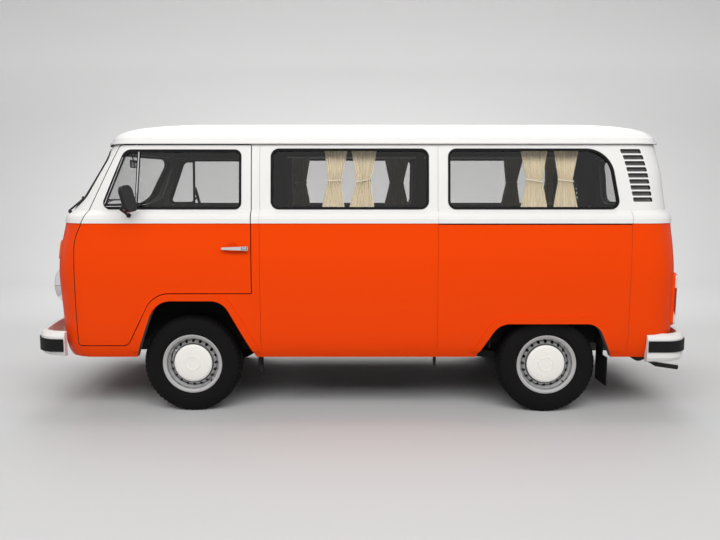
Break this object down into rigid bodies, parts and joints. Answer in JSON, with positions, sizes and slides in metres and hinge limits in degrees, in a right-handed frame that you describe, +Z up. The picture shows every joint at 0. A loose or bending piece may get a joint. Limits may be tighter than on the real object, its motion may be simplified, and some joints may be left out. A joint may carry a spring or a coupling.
{
  "type": "camper van",
  "caption": "Forward-cab camper van with a two-tone rounded body, wrap-round bumpers, curtained side windows, opening cab doors, tailgate and engine lid, and steered front wheels.",
  "frame": {"origin": "on the ground, midway along the overall length and on the centre plane", "axes": "+Z up, -X towards the nose, -Y towards the van's left side"},
  "size_m": [4.5038, 2.026, 1.957],
  "materials": {
    "orange_paint": "gloss",
    "white_paint": "gloss",
    "floor_mat": "matt",
    "underbody_paint": "satin",
    "body_glass": "clear",
    "seal_rubber": "satin",
    "strip_rubber": "satin",
    "reflector": "polished",
    "chrome": "polished",
    "lamp_glass": "clear",
    "amber_lens": "gloss",
    "red_lens": "gloss",
    "black_plastic": "satin",
    "dash_vinyl": "matt",
    "seat_cloth": "woven",
    "cupboard_wood": "satin",
    "curtain_cloth": "woven",
    "rail_metal": "satin",
    "axle_steel": "matt",
    "engine_metal": "matt",
    "exhaust_steel": "matt",
    "mirror_black": "gloss",
    "wheel_silver": "satin",
    "tyre_rubber": "matt",
    "cap_paint": "gloss"
  },
  "bodies": {
    "chassis": {"body_lower": "orange_paint", "body_upper": "white_paint", "roof": "white_paint", "floor_pan": "floor_mat", "frame_rails": "underbody_paint", "windscreen": "body_glass", "side_glass": "body_glass", "window_seals": "seal_rubber", "sliding_door": "orange_paint", "front_bumper": "white_paint", "rear_bumper": "white_paint", "bumper_strips": "strip_rubber", "headlamp_bowls": "reflector", "headlamp_rims": "chrome", "headlamp_lenses": "lamp_glass", "indicators": "amber_lens", "tail_lamps": "red_lens", "nose_grille": "black_plastic", "dashboard": "dash_vinyl", "steering_wheel": "black_plastic", "front_seats": "seat_cloth", "rear_bench": "seat_cloth", "cabinet": "cupboard_wood", "curtains": "curtain_cloth", "curtain_rails": "rail_metal", "front_axle": "axle_steel", "rear_axle": "axle_steel", "engine_transaxle": "engine_metal", "exhaust": "exhaust_steel", "mud_flaps": "strip_rubber"},
    "tail_door": {"tailgate": "orange_paint", "tailgate_glass": "body_glass", "tailgate_seal": "seal_rubber"},
    "lid": {"engine_lid": "orange_paint"},
    "steer_left": {"knuckle_left": "axle_steel"},
    "steer_right": {"knuckle_right": "axle_steel"},
    "cab_door_left": {"door_left": "orange_paint", "door_glass_left": "body_glass", "door_seal_left": "seal_rubber", "door_vent_left": "chrome", "door_handle_left": "chrome", "door_mirror_left": "mirror_black"},
    "cab_door_right": {"door_right": "orange_paint", "door_glass_right": "body_glass", "door_seal_right": "seal_rubber", "door_vent_right": "chrome", "door_handle_right": "chrome", "door_mirror_right": "mirror_black"},
    "wheel_fl": {"rim_fl": "wheel_silver", "tyre_fl": "tyre_rubber", "cap_fl": "cap_paint"},
    "wheel_fr": {"rim_fr": "wheel_silver", "tyre_fr": "tyre_rubber", "cap_fr": "cap_paint"},
    "wheel_rl": {"rim_rl": "wheel_silver", "tyre_rl": "tyre_rubber", "cap_rl": "cap_paint"},
    "wheel_rr": {"rim_rr": "wheel_silver", "tyre_rr": "tyre_rubber", "cap_rr": "cap_paint"}
  },
  "joints": [
    {"name": "door_left_hinge", "type": "hinge", "parent": "chassis", "child": "cab_door_left", "pos_m": [-1.906, -0.868, 0.9], "axis": [0, 0, -1], "range_deg": [0, 70]},
    {"name": "door_right_hinge", "type": "hinge", "parent": "chassis", "child": "cab_door_right", "pos_m": [-1.906, 0.868, 0.9], "axis": [0, 0, 1], "range_deg": [0, 70]},
    {"name": "tailgate_hinge", "type": "hinge", "parent": "chassis", "child": "tail_door", "pos_m": [2.03, 0, 1.812], "axis": [0, -1, 0], "range_deg": [0, 80]},
    {"name": "engine_lid_hinge", "type": "hinge", "parent": "chassis", "child": "lid", "pos_m": [2.181, 0, 0.9], "axis": [0, -1, 0], "range_deg": [0, 75]},
    {"name": "steer_left_pin", "type": "hinge", "parent": "chassis", "child": "steer_left", "pos_m": [-1.152, -0.59, 0.328], "axis": [0, 0, 1], "range_deg": [-30, 30]},
    {"name": "steer_right_pin", "type": "hinge", "parent": "chassis", "child": "steer_right", "pos_m": [-1.152, 0.59, 0.328], "axis": [0, 0, 1], "range_deg": [-30, 30]},
    {"name": "spin_fl", "type": "hinge", "parent": "steer_left", "child": "wheel_fl", "pos_m": [-1.152, -0.697, 0.328], "axis": [0, 1, 0], "continuous": true},
    {"name": "spin_fr", "type": "hinge", "parent": "steer_right", "child": "wheel_fr", "pos_m": [-1.152, 0.697, 0.328], "axis": [0, 1, 0], "continuous": true},
    {"name": "spin_rl", "type": "hinge", "parent": "chassis", "child": "wheel_rl", "pos_m": [1.248, -0.72, 0.328], "axis": [0, 1, 0], "continuous": true},
    {"name": "spin_rr", "type": "hinge", "parent": "chassis", "child": "wheel_rr", "pos_m": [1.248, 0.72, 0.328], "axis": [0, 1, 0], "continuous": true}
  ],
  "couplings": [
    {"joint": "steer_right_pin", "follows": "steer_left_pin", "ratio": 1}
  ]
}
